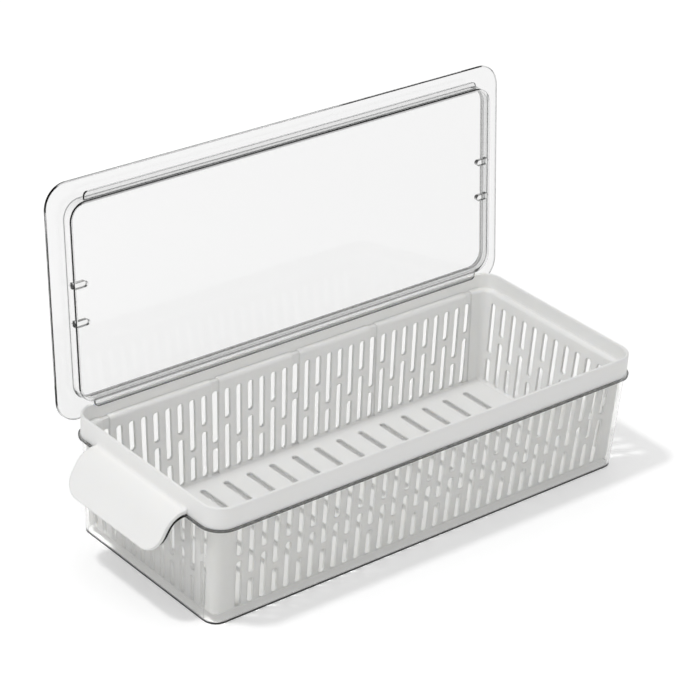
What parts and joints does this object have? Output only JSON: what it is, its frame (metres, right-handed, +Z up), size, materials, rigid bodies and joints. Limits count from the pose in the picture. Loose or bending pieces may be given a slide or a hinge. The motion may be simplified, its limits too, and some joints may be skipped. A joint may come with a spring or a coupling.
{
  "type": "fridge storage bin",
  "caption": "Long clear fridge bin with a white slotted drainer basket, a pull lip at one end and a clear lid that hooks over the back rim.",
  "frame": {"origin": "centre of the tray's flat base, on the shelf", "axes": "+X along the bin, away from the pull lip; +Y towards the long side where the lid stands; +Z up"},
  "size_m": [0.3865, 0.1697, 0.2344],
  "materials": {
    "clear_tray": "clear gloss",
    "white_basket": "satin white",
    "clear_lid": "clear gloss"
  },
  "bodies": {
    "bin": {"clear_tray": "clear_tray"},
    "basket": {"drainer_basket": "white_basket"},
    "lid": {"clear_lid": "clear_lid"}
  },
  "joints": [
    {"name": "basket_lift", "type": "slide", "parent": "bin", "child": "basket", "axis": [0, 0, 1], "range_m": [0, 0.08]},
    {"name": "lid_swing", "type": "hinge", "parent": "basket", "child": "lid", "pos_m": [0, 0.0725, 0.0842], "axis": [1, 0, 0], "range_deg": [0, 96.4]}
  ]
}
